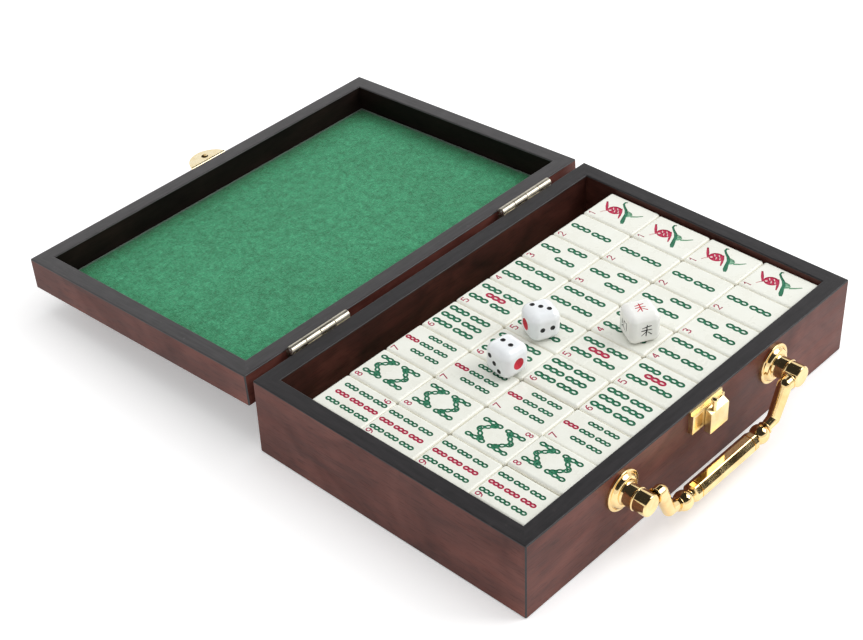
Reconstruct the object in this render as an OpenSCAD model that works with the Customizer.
// Boxed mahjong set: a hinged wooden case with brass fittings, its tiles and its dice.
// X runs along the hinge, -Y is the handle side and +Z is up.
// The origin is the middle of the case's underside, and the lid lies open.

/* [Tiles] */
// Width of a tile, along its row
tile_w = 20; // [18:0.5:24]
// Length of a tile, from the handle side to the hinge side
tile_l = 26; // [24:0.5:30]
// Thickness of a tile
tile_t = 15; // [13:0.5:18]
// Rounding of a tile's edges
tile_r = 1.2; // [0.8:0.1:3]
// Gap between two tiles of a row
tile_gap = 0.15; // [0.1:0.05:0.5]
// Gap between two rows
row_gap = 0.3; // [0.2:0.05:0.8]
// Gap between the tiles and the walls
tile_play = 0.3; // [0.2:0.05:1]
// Spare length that a row can slide in
row_slack = 1.2; // [0.4:0.1:3]
// Room for the fingers behind the last row
finger_room = 14.8; // [10:0.1:20]

/* [Dice] */
// Edge of a die
die_edge = 13; // [10:0.5:14]
// Rounding of a die's edges
die_r = 2.8; // [1:0.1:3.2]
// Radius of a pip
pip_r = 1; // [0.6:0.1:1.2]
// Depth of a pip
pip_depth = 0.4; // [0.2:0.1:0.6]
// Radius of the single pip
single_pip_r = 2.5; // [1.2:0.1:3]
// Depth of the single pip
single_pip_depth = 0.8; // [0.3:0.1:1]
// Distance of the outer pips from the middle of a face
pip_offset = 2.5; // [2.2:0.1:2.8]
// Distance of the two pips of a pair from the middle of a face
pair_offset = 2.1; // [1.6:0.1:2.6]
// Height left over the dice under the closed lid
die_head_room = 0.5; // [0.5:0.1:4]

/* [Case] */
// Thickness of the wall boards
wall_t = 7.5; // [7:0.5:12]
// Thickness of the floor board
floor_t = 2.4; // [2:0.1:5]
// Thickness of the lid's panel
lid_panel_t = 2.4; // [2:0.1:5]
// Width of the step that the floor and the panel sit in
rabbet_w = 3.5; // [2:0.1:4.5]
// Gap around the floor and the panel in their steps
board_play = 0.1; // [0.05:0.05:0.3]
// Thickness of the felt on the floor
base_felt_t = 0.6; // [0.4:0.1:1.5]
// Thickness of the felt in the lid
lid_felt_t = 0.6; // [0.4:0.1:1.5]
// Gap between a felt and the walls
felt_play = 0.2; // [0.1:0.05:0.6]
// Height of the rim above the tiles
rim_over_tiles = 2; // [1:0.1:4]
// Gap between the two rims when shut
lid_seat = 0.05; // [0.02:0.01:0.2]
// Angle that the lid is opened by
open_angle = 183.2; // [170:0.2:185]

/* [Hinges] */
// Distance of a hinge's middle from the end of the case
hinge_inset = 37.3; // [31:0.1:59]
// Length of a hinge
hinge_len = 31.2; // [24:0.2:40]
// Radius of the rolled barrel
barrel_r = 1.8; // [1.6:0.1:2.4]
// Gap between the barrel and the back of the case
barrel_play = 0.45; // [0.3:0.05:0.8]
// Radius of the hinge pin
hinge_pin_r = 0.8; // [0.6:0.05:1]
// Radial clearance of a turning pin
pin_play = 0.05; // [0.02:0.01:0.1]
// Gap between two knuckles
knuckle_gap = 0.15; // [0.1:0.05:0.4]
// Thickness of a leaf
leaf_t = 1; // [0.8:0.1:1.2]
// Height of a leaf
leaf_h = 8.7; // [7:0.1:11]
// Distance of a hinge screw from the middle of its hinge
hinge_screw_x = 10; // [6:0.5:11]

/* [Screws and nails] */
// Radius of a hinge screw's shank
hinge_screw_r = 1; // [0.8:0.1:1.2]
// Radius of a hinge screw's head
hinge_screw_head_r = 1.9; // [1.6:0.1:2.4]
// Length of a hinge screw
hinge_screw_len = 7; // [5:0.5:7]
// Radius of a handle screw's shank
handle_screw_r = 1.7; // [1.5:0.1:2]
// Radius of a handle screw's head
handle_screw_head_r = 3.3; // [2.8:0.1:4]
// Length of a handle screw inside its post
handle_screw_grip = 5.7; // [4:0.1:6]
// Radius of a nail's shank
nail_r = 0.6; // [0.5:0.05:0.7]
// Radius of a nail's head
nail_head_r = 0.9; // [0.8:0.05:1.1]
// Length of a nail
nail_len = 6; // [4:0.5:7]
// Width of a screw's slot
slot_w = 0.5; // [0.3:0.1:0.7]
// Depth of a screw's slot
slot_depth = 0.4; // [0.2:0.1:0.6]
// Radial gap around a fixed pin, screw or nail
fix_play = 0.05; // [0.02:0.01:0.1]

/* [Latch] */
// Width of the latch plate
latch_w = 19.4; // [18:0.2:24]
// Distance of the plate's left end from the middle of the case
latch_left = 7.4; // [6:0.1:12]
// Height of the plate
latch_h = 8.5; // [8:0.1:10]
// Thickness of the plate
latch_t = 2; // [1.8:0.1:3]
// Distance of the plate below the rim
latch_drop = 1.6; // [1:0.1:3]
// Thickness of the plate's upper lip
latch_lip_t = 0.9; // [0.6:0.1:1.5]
// Distance of the lip below the rim
latch_lip_drop = 0.2; // [0.1:0.1:0.8]
// Border around the sunk panel of the plate
latch_border = 1.2; // [0.8:0.1:2]
// Depth of the sunk panel
latch_panel_depth = 0.3; // [0.2:0.1:0.6]
// Width of the sliding block
slider_w = 11.1; // [11:0.1:12]
// Height of the sliding block
slider_h = 10.9; // [10.5:0.1:12]
// Thickness of the sliding block
slider_t = 2.9; // [2.8:0.1:3.4]
// Distance of the sliding block below the rim
slider_drop = 2.2; // [2:0.1:3]
// Distance of the sliding block from the plate's right end
slider_inset = 0.9; // [0:0.1:1.2]
// Travel of the sliding block
slider_travel = 6; // [3:0.2:6]
// Gap between the sliding block and the plate
slide_gap = 0.1; // [0.05:0.05:0.2]
// Length of the guide key
key_len = 3.6; // [2.5:0.1:3.8]
// Height of the key's stem
key_h = 2.4; // [1.8:0.1:2.6]
// Height of the key's head
key_head_h = 4; // [3.2:0.1:4.2]
// Thickness of the key's head
key_head_t = 0.7; // [0.5:0.1:0.9]
// Gap around the key's stem
key_play = 0.05; // [0.02:0.01:0.1]
// Gap around the key's head
key_head_play = 0.2; // [0.1:0.05:0.25]
// Distance of the key's middle below the top of the plate
key_drop = 5.2; // [5:0.1:5.4]
// Distance of the key from the right end of the block
key_inset = 1.1; // [0.8:0.1:1.3]
// Distance of a latch nail from the end of the block that hides it
latch_nail_inset = 1.4; // [1.2:0.1:2]
// Distance of the latch nails below the top of the plate
latch_nail_drop = 1.2; // [1.2:0.1:1.4]
// Radius of the hook stud
stud_r = 0.8; // [0.6:0.1:1]
// Radius of the stud's head
stud_head_r = 1.4; // [1.2:0.1:1.6]
// Height of the stud's head
stud_head_h = 1; // [0.6:0.1:1.4]
// Depth of the stud in the block
stud_foot = 2; // [1.5:0.1:3]
// Distance of the stud from the left end of the block
stud_inset = 2.8; // [1.6:0.1:4]
// Distance of the stud from the back of the block
stud_set = 1.9; // [1.4:0.1:1.9]
// Gap between the stud's head and the hole that it passes
stud_play = 0.2; // [0.1:0.05:0.4]
// Gap between the tongue and the stud's head
stud_lift = 0.35; // [0.2:0.05:0.6]
// Width of the tongue
tongue_w = 19.8; // [18:0.2:24]
// Reach of the tongue in front of the lid
tongue_out = 8.7; // [7:0.1:9.4]
// Thickness of the tongue
tongue_t = 0.8; // [0.6:0.1:1]
// Height of the tongue's leaf on the lid
tongue_leaf_h = 8.9; // [7:0.1:11]
// Distance of the tongue's middle from its hole
tongue_offset = 0.8; // [0:0.1:2]
// Distance of a tongue nail from the middle of the tongue
tongue_nail_x = 6.5; // [4:0.1:7.5]

/* [Handle] */
// Distance of a post from the middle of the case
post_x = 46.9; // [44:0.1:60]
// Distance of the posts below the rim
post_drop = 10.4; // [9:0.1:13]
// Radius of a post
post_r = 4.45; // [4:0.05:5]
// Reach of a post in front of the case
post_out = 13.8; // [13.5:0.1:16]
// Rounding of a post's end
post_round = 0.9; // [0.4:0.1:1.2]
// Reach of the ring on a post
ring_out = 7.6; // [7:0.1:7.8]
// Width of the ring
ring_w = 0.8; // [0.5:0.1:1]
// Height of the ring
ring_h = 0.3; // [0.1:0.05:0.4]
// Radius of a rosette
rosette_r = 8.6; // [7.5:0.1:10]
// Thickness of a rosette
rosette_h = 2.8; // [2:0.1:3.2]
// Thickness of a rosette's rim
rosette_rim_h = 1.2; // [0.6:0.1:1.6]
// Radius of a rosette's raised middle
rosette_crown_r = 6.4; // [5.5:0.1:7]
// Reach of the pivots in front of the case
pivot_out = 11.2; // [11:0.1:12]
// Radius of a pivot pin
pivot_r = 1.5; // [1.2:0.05:1.7]
// Gap between an arm and its post
pivot_gap = 0.25; // [0.1:0.05:0.5]
// Depth of a pivot pin in its arm
pivot_seat = 2.7; // [2:0.1:3]
// Depth of a pivot pin in its post
pivot_depth = 3; // [2:0.1:4]
// Length of an arm's boss
boss_len = 3.4; // [3.2:0.1:4.5]
// Radius of an arm at its boss
arm_r = 2.8; // [2.6:0.1:3]
// Radius of an arm at its elbow
arm_mid_r = 2.5; // [2.2:0.1:2.8]
// Radius of an arm at its ball
arm_end_r = 2.1; // [1.6:0.1:2.2]
// Swelling of an arm at its bends
arm_swell = 0.25; // [0.1:0.05:0.4]
// Distance of an elbow from the middle of the handle
elbow_x = 33; // [31:0.1:36]
// Distance of the elbows below the pivots
elbow_drop = 12.8; // [11:0.1:13.5]
// Distance of a ball from the middle of the handle
ball_x = 24; // [22:0.1:26]
// Distance of the balls below the pivots
ball_drop = 14.9; // [14:0.1:15.5]
// Radius of a ball
ball_r = 4; // [3.6:0.1:4.4]
// Distance of a ball's flats from its middle
ball_flat = 3.4; // [3:0.1:3.5]
// Width of the grip across its flats
grip_flat = 7.2; // [6:0.1:7.6]
// Radius of the grip's necks
neck_r = 2.3; // [1.8:0.1:2.6]
// Length of a neck
neck_len = 0.6; // [0.5:0.1:2]
// Length of the grip's turned shoulders
grip_taper = 0.9; // [0.8:0.1:2.5]
// Distance of a groove from the middle of the grip
groove_x = 16.5; // [10:0.5:17]
// Width of a groove
groove_w = 0.6; // [0.3:0.1:1]
// Depth of a groove
groove_depth = 0.3; // [0.1:0.1:0.5]

/* [Hidden] */
$fn = 64;

// Four rows of nine tiles in two layers. Row 0 is on the handle side, number 1 at the right end.
rows = 4;
tiles_per_row = 9;
layers = 2;
// Share of the spare length that each row has slid to the right by
row_shares = [0.75, 0.25, 0, 0.5];
// Knuckles of one hinge
knuckles = 4;
// Each die's place along its row and from the middle of the row, its turn, and the row that it lies on
die_a_at = [-4.6, -0.6];
die_a_turn = -25.3;
die_b_at = [-29.9, -5.3];
die_b_turn = -6.4;
pip_dice_row = 2;
wind_die_at = [19.3, -3.9];
wind_die_turn = -29.2;
wind_die_row = 1;
// Length by which a cut runs past the face that it opens
cut = 1;

inner_w = tiles_per_row * tile_w + (tiles_per_row - 1) * tile_gap + 2 * tile_play + row_slack;
inner_d = rows * tile_l + (rows - 1) * row_gap + tile_play + finger_room;
case_w = inner_w + 2 * wall_t;
case_d = inner_d + 2 * wall_t;
seat_z = floor_t + base_felt_t;
tile_top = seat_z + layers * tile_t;
base_h = tile_top + rim_over_tiles;
lid_depth = die_edge + die_head_room - rim_over_tiles;
lid_h = lid_depth + lid_felt_t + lid_panel_t;
lid_z = base_h + lid_seat;
lid_panel_z = lid_z + lid_h - lid_panel_t;
front_y = -case_d / 2;
back_y = case_d / 2;

hinge_x = case_w / 2 - hinge_inset;
leaf_reach = barrel_r + barrel_play;
hinge_y = back_y + leaf_reach;
hinge_z = base_h;
knuckle_len = (hinge_len - (knuckles - 1) * knuckle_gap) / knuckles;
hinge_screw_drop = barrel_r + leaf_h / 2;

latch_x0 = -latch_left;
latch_x1 = latch_x0 + latch_w;
latch_z1 = base_h - latch_drop;
latch_z0 = latch_z1 - latch_h;
slider_x1 = latch_x1 - slider_inset;
slider_x0 = slider_x1 - slider_w;
slider_z1 = base_h - slider_drop;
slider_z0 = slider_z1 - slider_h;
slider_d0 = latch_t + slide_gap;
slider_d1 = slider_d0 + slider_t;
key_x1 = slider_x1 - key_inset;
key_x0 = key_x1 - key_len;
key_z = latch_z1 - key_drop;
key_head_d = key_head_play / 2;
stud_x = slider_x0 + stud_inset;
stud_d = slider_d0 + stud_set;
stud_neck_z = lid_z + tongue_t + stud_lift;
tongue_x = stud_x - tongue_offset;
tongue_nail_z = lid_z + (tongue_t + tongue_leaf_h) / 2;
// Radius of the tongue's curved edge, from its width and its reach
tongue_edge_r = (pow(tongue_w / 2, 2) + pow(tongue_out, 2)) / (2 * tongue_out);

pivot_z = base_h - post_drop;
boss_x1 = post_x - post_r - pivot_gap;
shoulder = [boss_x1 - boss_len, 0];
elbow = [elbow_x, -elbow_drop];
ball = [ball_x, -ball_drop];
arm_dir = unit(elbow - ball);
grip_end = ball_x - ball_flat;

wood = "saddlebrown";
ink = "black";
felt_green = "seagreen";
brass = "goldenrod";
pale_brass = "khaki";
nickel = "silver";
ivory = "ivory";

function unit(v) = v / norm(v);
function tile_x(n, shift) = -inner_w / 2 + tile_play + shift + (tiles_per_row - n) * (tile_w + tile_gap)
    + tile_w / 2;
function row_y(row) = -inner_d / 2 + tile_play + row * (tile_l + row_gap) + tile_l / 2;
function row_shift(row) = row_shares[row] * row_slack;

// Rectangle with round corners, about its middle
module round_rect(w, l, r) {
    square([w - 2 * r, l], center = true);
    square([w, l - 2 * r], center = true);
    for (sx = [-1, 1], sy = [-1, 1])
        translate([sx * (w / 2 - r), sy * (l / 2 - r)])
            circle(r);
}

// Block with all its edges rounded, standing on z = 0
module round_block(w, l, h, r) {
    translate([0, 0, h / 2])
        intersection() {
            linear_extrude(h, center = true)
                round_rect(w, l, r);
            rotate([90, 0, 0])
                linear_extrude(l, center = true)
                    round_rect(w, h, r);
            rotate([90, 0, 90])
                linear_extrude(w, center = true)
                    round_rect(l, h, r);
        }
}

// Box in front of the case, between two distances on each of x, outward and z
module front_block(x, out, z) {
    translate([x[0], front_y - out[1], z[0]])
        cube([x[1] - x[0], out[1] - out[0], z[1] - z[0]]);
}

// Right-hand piece as it is, or mirrored to the left
module sided(side) {
    if (side == "left")
        mirror([1, 0, 0])
            children();
    else
        children();
}

// Piece of the shut lid, swung open
module lid_pose() {
    translate([0, hinge_y, hinge_z])
        rotate([-open_angle, 0, 0])
            translate([0, -hinge_y, -hinge_z])
                children();
}

// Countersunk screw or nail with its head's face at z = 0 and its point downwards
module screw(r, head_r, length) {
    difference() {
        rotate_extrude()
            polygon([[0, 0], [head_r, 0], [r, r - head_r], [r, 2 * r - length], [r / 4, -length], [0, -length]]);
        translate([-head_r - cut, -slot_w / 2, -slot_depth])
            cube([2 * (head_r + cut), slot_w, slot_depth + cut]);
    }
}

module nail() {
    rotate_extrude()
        polygon([[0, 0], [nail_head_r, 0], [nail_r, nail_r - nail_head_r], [nail_r, 2 * nail_r - nail_len],
            [nail_r / 4, -nail_len], [0, -nail_len]]);
}

// Hole that such a screw or nail sits in
module screw_hole(r, head_r, length) {
    rotate_extrude()
        polygon([[0, cut], [head_r + fix_play, cut], [head_r + fix_play, 0], [r + fix_play, r - head_r],
            [r + fix_play, -length - fix_play], [0, -length - fix_play]]);
}

// Places of the screws and nails
module at_hinge_screws(zs) {
    for (sx = [-1, 1], dx = [-hinge_screw_x, hinge_screw_x])
        translate([sx * hinge_x + dx, back_y + leaf_t, hinge_z + zs * hinge_screw_drop])
            rotate([-90, 0, 0])
                children();
}

module at_handle_screws() {
    for (sx = [-1, 1])
        translate([sx * post_x, front_y + wall_t, pivot_z])
            rotate([-90, 0, 0])
                children();
}

module at_latch_nails() {
    for (x = [slider_x0 + latch_nail_inset, slider_x1 - latch_nail_inset])
        translate([x, front_y - latch_t, latch_z1 - latch_nail_drop])
            rotate([90, 0, 0])
                children();
}

module at_tongue_nails() {
    for (dx = [-tongue_nail_x, tongue_nail_x])
        translate([tongue_x + dx, front_y - tongue_t, tongue_nail_z])
            rotate([90, 0, 0])
                children();
}

module hinge_screw_holes(zs) {
    at_hinge_screws(zs)
        screw_hole(hinge_screw_r, hinge_screw_head_r, hinge_screw_len);
}

module handle_screw_holes() {
    at_handle_screws()
        screw_hole(handle_screw_r, handle_screw_head_r, wall_t + rosette_h + handle_screw_grip);
}

module nail_hole() {
    screw_hole(nail_r, nail_head_r, nail_len);
}

// Front board of a frame with mitred ends
module long_board(h) {
    linear_extrude(h)
        polygon([[-case_w / 2, front_y], [case_w / 2, front_y], [inner_w / 2, front_y + wall_t],
            [-inner_w / 2, front_y + wall_t]]);
}

// Left board of a frame with mitred ends
module short_board(h) {
    linear_extrude(h)
        polygon([[-case_w / 2, front_y], [-inner_w / 2, front_y + wall_t], [-inner_w / 2, back_y - wall_t],
            [-case_w / 2, back_y]]);
}

// Step that a floor or a panel sits in, open on one side
module board_step(z, h) {
    translate([-inner_w / 2 - rabbet_w, -inner_d / 2 - rabbet_w, z])
        cube([inner_w + 2 * rabbet_w, inner_d + 2 * rabbet_w, h]);
}

module board(z, h) {
    translate([-inner_w / 2 - rabbet_w + board_play, -inner_d / 2 - rabbet_w + board_play, z])
        cube([inner_w + 2 * (rabbet_w - board_play), inner_d + 2 * (rabbet_w - board_play), h]);
}

module felt(z, h) {
    translate([-inner_w / 2 + felt_play, -inner_d / 2 + felt_play, z])
        cube([inner_w - 2 * felt_play, inner_d - 2 * felt_play, h]);
}

module base_front_wall() {
    color(wood)
        difference() {
            long_board(base_h);
            board_step(-cut, floor_t + cut);
            handle_screw_holes();
            at_latch_nails()
                nail_hole();
        }
}

module base_back_wall() {
    color(wood)
        difference() {
            mirror([0, 1, 0])
                long_board(base_h);
            board_step(-cut, floor_t + cut);
            hinge_screw_holes(-1);
        }
}

module base_left_wall() {
    color(wood)
        difference() {
            short_board(base_h);
            board_step(-cut, floor_t + cut);
        }
}

module base_right_wall() {
    mirror([1, 0, 0])
        base_left_wall();
}

module base_floor() {
    color(wood)
        board(0, floor_t);
}

module base_felt() {
    color(felt_green)
        felt(floor_t, base_felt_t);
}

module lid_board() {
    translate([0, 0, lid_z])
        children();
}

module lid_front_wall() {
    color(ink)
        lid_pose()
            difference() {
                lid_board()
                    long_board(lid_h);
                board_step(lid_panel_z, lid_panel_t + cut);
                at_tongue_nails()
                    nail_hole();
            }
}

module lid_back_wall() {
    color(ink)
        lid_pose()
            difference() {
                lid_board()
                    mirror([0, 1, 0])
                        long_board(lid_h);
                board_step(lid_panel_z, lid_panel_t + cut);
                hinge_screw_holes(1);
            }
}

module lid_left_wall() {
    color(ink)
        lid_pose()
            difference() {
                lid_board()
                    short_board(lid_h);
                board_step(lid_panel_z, lid_panel_t + cut);
            }
}

module lid_right_wall() {
    mirror([1, 0, 0])
        lid_left_wall();
}

module lid_panel() {
    color(wood)
        lid_pose()
            board(lid_panel_z, lid_panel_t);
}

module lid_felt() {
    color(felt_green)
        lid_pose()
            felt(lid_panel_z - lid_felt_t, lid_felt_t);
}

// Hinge outlines are drawn across the hinge, about its axis
module along_hinge(x, length) {
    translate([x, hinge_y, hinge_z])
        rotate([90, 0, 90])
            linear_extrude(length)
                children();
}

module knuckle() {
    difference() {
        union() {
            circle(barrel_r);
            translate([-leaf_reach, -barrel_r])
                square([leaf_reach, leaf_t]);
        }
        circle(hinge_pin_r + pin_play);
    }
}

// Leaf below the axis with every second knuckle
module hinge_leaf(first) {
    hinge_x0 = hinge_x - hinge_len / 2;
    along_hinge(hinge_x0, hinge_len)
        translate([-leaf_reach, -barrel_r - leaf_h])
            square([leaf_t, leaf_h]);
    for (k = [first:2:knuckles - 1])
        along_hinge(hinge_x0 + k * (knuckle_len + knuckle_gap), knuckle_len)
            knuckle();
}

module hinge_case_leaf() {
    color(nickel)
        difference() {
            hinge_leaf(0);
            hinge_screw_holes(-1);
        }
}

module hinge_lid_leaf() {
    color(nickel)
        lid_pose()
            difference() {
                translate([0, 0, hinge_z])
                    mirror([0, 0, 1])
                        translate([0, 0, -hinge_z])
                            hinge_leaf(1);
                hinge_screw_holes(1);
            }
}

module hinge_pin() {
    color(nickel)
        along_hinge(hinge_x - hinge_len / 2, hinge_len)
            circle(hinge_pin_r);
}

module hinge_case_screws() {
    color(nickel)
        at_hinge_screws(-1)
            screw(hinge_screw_r, hinge_screw_head_r, hinge_screw_len);
}

module hinge_lid_screws() {
    color(nickel)
        lid_pose()
            at_hinge_screws(1)
                screw(hinge_screw_r, hinge_screw_head_r, hinge_screw_len);
}

// Plate with a sunk panel on the left and a slot for the key behind the block
module latch_plate() {
    color(pale_brass)
        difference() {
            union() {
                front_block([latch_x0, latch_x1], [0, latch_t], [latch_z0, latch_z1]);
                front_block([latch_x0, latch_x1], [0, latch_lip_t], [latch_z0, base_h - latch_lip_drop]);
            }
            front_block([latch_x0 + latch_border, slider_x0 - latch_border],
                [latch_t - latch_panel_depth, latch_t + cut], [latch_z0 + latch_border, latch_z1 - latch_border]);
            front_block([key_x0 - slider_travel - key_play, key_x1 + key_play], [-cut, latch_t + cut],
                [key_z - key_h / 2 - key_play, key_z + key_h / 2 + key_play]);
            front_block([key_x0 - slider_travel - key_play, key_x1 + key_play], [-cut, key_head_t + key_head_play],
                [key_z - key_head_h / 2 - key_head_play, key_z + key_head_h / 2 + key_head_play]);
            at_latch_nails()
                nail_hole();
        }
}

module latch_slider() {
    color(pale_brass)
        difference() {
            front_block([slider_x0, slider_x1], [slider_d0, slider_d1], [slider_z0, slider_z1]);
            translate([stud_x, front_y - stud_d, slider_z1 - stud_foot])
                cylinder(r = stud_r + fix_play, h = stud_foot + cut);
        }
}

// Headed key on the back of the block, held behind the plate
module latch_key() {
    color(pale_brass) {
        front_block([key_x0, key_x1], [key_head_d, slider_d0], [key_z - key_h / 2, key_z + key_h / 2]);
        front_block([key_x0, key_x1], [key_head_d, key_head_d + key_head_t],
            [key_z - key_head_h / 2, key_z + key_head_h / 2]);
    }
}

// Headed stud that passes the tongue's hole and hooks over its edge
module latch_stud() {
    color(pale_brass)
        translate([stud_x, front_y - stud_d, 0]) {
            translate([0, 0, slider_z1 - stud_foot])
                cylinder(r = stud_r, h = stud_neck_z + stud_head_h - slider_z1 + stud_foot);
            translate([0, 0, stud_neck_z])
                cylinder(r = stud_head_r, h = stud_head_h);
        }
}

module latch_nails() {
    color(brass)
        at_latch_nails()
            nail();
}

// Angle on the lid: a leaf on its front and a tongue level with its rim
module lid_tongue() {
    color(pale_brass)
        lid_pose()
            difference() {
                union() {
                    front_block([tongue_x - tongue_w / 2, tongue_x + tongue_w / 2], [0, tongue_t],
                        [lid_z, lid_z + tongue_leaf_h]);
                    translate([tongue_x, front_y, lid_z])
                        linear_extrude(tongue_t)
                            intersection() {
                                translate([0, tongue_edge_r - tongue_out])
                                    circle(tongue_edge_r);
                                translate([-tongue_w / 2, -tongue_out])
                                    square([tongue_w, tongue_out]);
                            }
                }
                translate([stud_x, front_y - stud_d, lid_z - cut])
                    cylinder(r = stud_head_r + stud_play, h = tongue_t + 2 * cut);
                at_tongue_nails()
                    nail_hole();
            }
}

module tongue_nails() {
    color(brass)
        lid_pose()
            at_tongue_nails()
                nail();
}

// Turned pieces of the handle stand out from the front of the case
module at_post() {
    translate([post_x, front_y, pivot_z])
        rotate([90, 0, 0])
            children();
}

module handle_rosette() {
    bore_r = handle_screw_r + fix_play;
    color(brass)
        at_post()
            rotate_extrude()
                polygon([[bore_r, 0], [rosette_r, 0], [rosette_r, rosette_rim_h], [rosette_crown_r, rosette_h],
                    [bore_r, rosette_h]]);
}

module handle_post() {
    bore_r = handle_screw_r + fix_play;
    bore_end = rosette_h + handle_screw_grip + fix_play;
    color(brass)
        difference() {
            at_post()
                rotate_extrude()
                    polygon([[bore_r, rosette_h], [post_r, rosette_h], [post_r, ring_out - ring_w / 2],
                        [post_r + ring_h, ring_out - ring_w / 2], [post_r + ring_h, ring_out + ring_w / 2],
                        [post_r, ring_out + ring_w / 2], [post_r, post_out - post_round],
                        [post_r - post_round, post_out], [0, post_out], [0, bore_end], [bore_r, bore_end]]);
            translate([boss_x1, front_y - pivot_out, pivot_z])
                rotate([0, 90, 0])
                    cylinder(r = pivot_r + pin_play, h = 2 * pivot_gap + pivot_depth);
        }
}

module handle_screws() {
    color(nickel)
        at_handle_screws()
            screw(handle_screw_r, handle_screw_head_r, wall_t + rosette_h + handle_screw_grip);
}

// The handle's own pieces are drawn across the case, about its pivots
module at_pivots() {
    translate([0, front_y - pivot_out, pivot_z])
        children();
}

module rod(from, to, r1, r2) {
    run = to - from;
    translate([from[0], 0, from[1]])
        rotate([0, atan2(run[0], run[1]), 0])
            cylinder(h = norm(run), r1 = r1, r2 = r2);
}

// Ball between two neighbours, its poles across the handle and its seam on the outer side
module bend(at, before, after, r) {
    inward = unit(before - at) + unit(after - at);
    translate([at[0], 0, at[1]])
        rotate([0, -atan2(-inward[1], -inward[0]), 0])
            rotate([90, 0, 0])
                sphere(r);
}

module handle_pivot_pins() {
    color(brass)
        at_pivots()
            for (side = ["left", "right"])
                sided(side)
                    translate([boss_x1 - pivot_seat, 0, 0])
                        rotate([0, 90, 0])
                            cylinder(r = pivot_r, h = pivot_seat + pivot_gap + pivot_depth);
}

module handle_arm() {
    color(brass)
        at_pivots()
            difference() {
                union() {
                    rod([boss_x1, 0], shoulder, arm_r, arm_r);
                    bend(shoulder, [boss_x1, 0], elbow, arm_r + arm_swell);
                    rod(shoulder, elbow, arm_r, arm_mid_r);
                    bend(elbow, shoulder, ball, arm_mid_r + arm_swell);
                    rod(elbow, ball + ball_flat * arm_dir, arm_mid_r, arm_end_r);
                }
                translate([boss_x1 - pivot_seat - fix_play, 0, 0])
                    rotate([0, 90, 0])
                        cylinder(r = pivot_r + fix_play, h = pivot_seat + fix_play + cut);
            }
}

// Ball with flats for the arm and for the grip
module handle_ball() {
    color(brass)
        at_pivots()
            difference() {
                translate([ball[0], 0, ball[1]])
                    rotate([0, 90, 0])
                        rotate_extrude()
                            intersection() {
                                circle(ball_r);
                                translate([0, -ball_flat])
                                    square([ball_r, ball_flat + ball_r]);
                            }
                rod(ball + ball_flat * arm_dir, ball + (ball_r + cut) * arm_dir, ball_r, ball_r);
            }
}

// Octagonal grip with turned ends and two grooves
module handle_grip() {
    corner_r = grip_flat / 2 / cos(180 / 8);
    outer_r = corner_r + cut;
    neck_z = grip_end - neck_len;
    outer_z = neck_z - grip_taper * (outer_r - neck_r) / (corner_r - neck_r);
    color(brass)
        at_pivots()
            translate([0, 0, -ball_drop])
                rotate([0, 90, 0])
                    difference() {
                        intersection() {
                            rotate([0, 0, 180 / 8])
                                cylinder(r = corner_r, h = 2 * grip_end, center = true, $fn = 8);
                            rotate_extrude()
                                polygon([[0, -grip_end], [neck_r, -grip_end], [neck_r, -neck_z],
                                    [outer_r, -outer_z], [outer_r, outer_z], [neck_r, neck_z],
                                    [neck_r, grip_end], [0, grip_end]]);
                        }
                        for (z = [-groove_x, groove_x])
                            translate([0, 0, z])
                                rotate_extrude()
                                    translate([grip_flat / 2 - groove_depth, -groove_w / 2])
                                        square([corner_r, groove_w]);
                    }
}

module tile(n, row, layer, shift) {
    translate([tile_x(n, shift), row_y(row), seat_z + layer * tile_t])
        round_block(tile_w, tile_l, tile_t, tile_r);
}

// Tile of the front row
module bamboo_tile(n) {
    color(ivory)
        tile(n, 0, layers - 1, row_shift(0));
}

module tile_row(row) {
    color(ivory)
        for (n = [1:tiles_per_row])
            tile(n, row, layers - 1, row_shift(row));
}

module lower_tiles() {
    color(ivory)
        for (row = [0:rows - 1], n = [1:tiles_per_row])
            tile(n, row, 0, row_slack / 2);
}

// Places of the pips on a face. A pair lies in line, and three or more spread to the corners.
function pips(n) = n == 2 ? [[-pair_offset, 0], [pair_offset, 0]] : pip_offset * concat(
    n % 2 == 1 ? [[0, 0]] : [],
    n > 1 ? [[-1, 1], [1, -1]] : [],
    n > 3 ? [[1, 1], [-1, -1]] : [],
    n > 5 ? [[-1, 0], [1, 0]] : []
);

// Round dimple of a given radius and depth in the face z = 0
module dimple(r, depth) {
    ball_radius = (r * r + depth * depth) / (2 * depth);
    translate([0, 0, ball_radius - depth])
        sphere(ball_radius);
}

module pip_face(n, spin = 0) {
    rotate([0, 0, spin])
        for (p = pips(n))
            translate([p[0], p[1], die_edge / 2])
                if (n == 1)
                    dimple(single_pip_r, single_pip_depth);
                else
                    dimple(pip_r, pip_depth);
}

// Die with its pips, those of the top and the left turned by a spin. Opposite faces add up to seven.
module pip_die(top, front, left, spin = 0) {
    translate([0, 0, die_edge / 2])
        difference() {
            translate([0, 0, -die_edge / 2])
                round_block(die_edge, die_edge, die_edge, die_r);
            pip_face(top, spin);
            rotate([180, 0, 0])
                pip_face(7 - top);
            rotate([90, 0, 0])
                pip_face(front);
            rotate([-90, 0, 0])
                pip_face(7 - front);
            rotate([0, -90, 0])
                pip_face(left, spin);
            rotate([0, 90, 0])
                pip_face(7 - left);
        }
}

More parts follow.
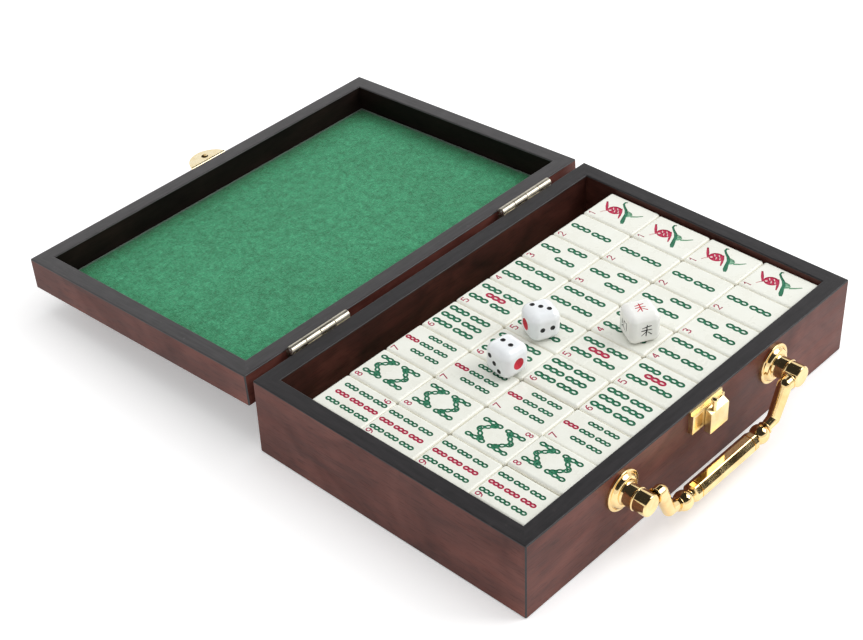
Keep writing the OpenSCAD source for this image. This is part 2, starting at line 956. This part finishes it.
module on_row(row, at, turn) {
    translate([at[0], row_y(row) + at[1], tile_top])
        rotate([0, 0, turn])
            children();
}

module die_a() {
    color(ivory)
        on_row(pip_dice_row, die_a_at, die_a_turn)
            pip_die(3, 2, 1);
}

module die_b() {
    color(ivory)
        on_row(pip_dice_row, die_b_at, die_b_turn)
            pip_die(2, 1, 3, 90);
}

module wind_die() {
    color(ivory)
        on_row(wind_die_row, wind_die_at, wind_die_turn)
            round_block(die_edge, die_edge, die_edge, die_r);
}

base_front_wall();
base_back_wall();
base_left_wall();
base_right_wall();
base_floor();
base_felt();
lid_front_wall();
lid_back_wall();
lid_left_wall();
lid_right_wall();
lid_panel();
lid_felt();
sided("left") hinge_case_leaf();  // hinge_left_case_leaf
sided("right") hinge_case_leaf();  // hinge_right_case_leaf
sided("left") hinge_lid_leaf();  // hinge_left_lid_leaf
sided("right") hinge_lid_leaf();  // hinge_right_lid_leaf
sided("left") hinge_pin();  // hinge_left_pin
sided("right") hinge_pin();  // hinge_right_pin
hinge_case_screws();
hinge_lid_screws();
latch_plate();
latch_slider();
latch_key();
latch_stud();
latch_nails();
lid_tongue();
tongue_nails();
sided("left") handle_rosette();  // handle_left_rosette
sided("right") handle_rosette();  // handle_right_rosette
sided("left") handle_post();  // handle_left_post
sided("right") handle_post();  // handle_right_post
handle_screws();
handle_pivot_pins();
sided("left") handle_arm();  // handle_left_arm
sided("right") handle_arm();  // handle_right_arm
sided("left") handle_ball();  // handle_left_ball
sided("right") handle_ball();  // handle_right_ball
handle_grip();
die_a();
die_b();
wind_die();
bamboo_tile(1);  // bamboo_1_tile
bamboo_tile(2);  // bamboo_2_tile
bamboo_tile(3);  // bamboo_3_tile
bamboo_tile(4);  // bamboo_4_tile
bamboo_tile(5);  // bamboo_5_tile
bamboo_tile(6);  // bamboo_6_tile
bamboo_tile(7);  // bamboo_7_tile
bamboo_tile(8);  // bamboo_8_tile
bamboo_tile(9);  // bamboo_9_tile
tile_row(1);  // tile_row_2
tile_row(2);  // tile_row_3
tile_row(3);  // tile_row_4
lower_tiles();
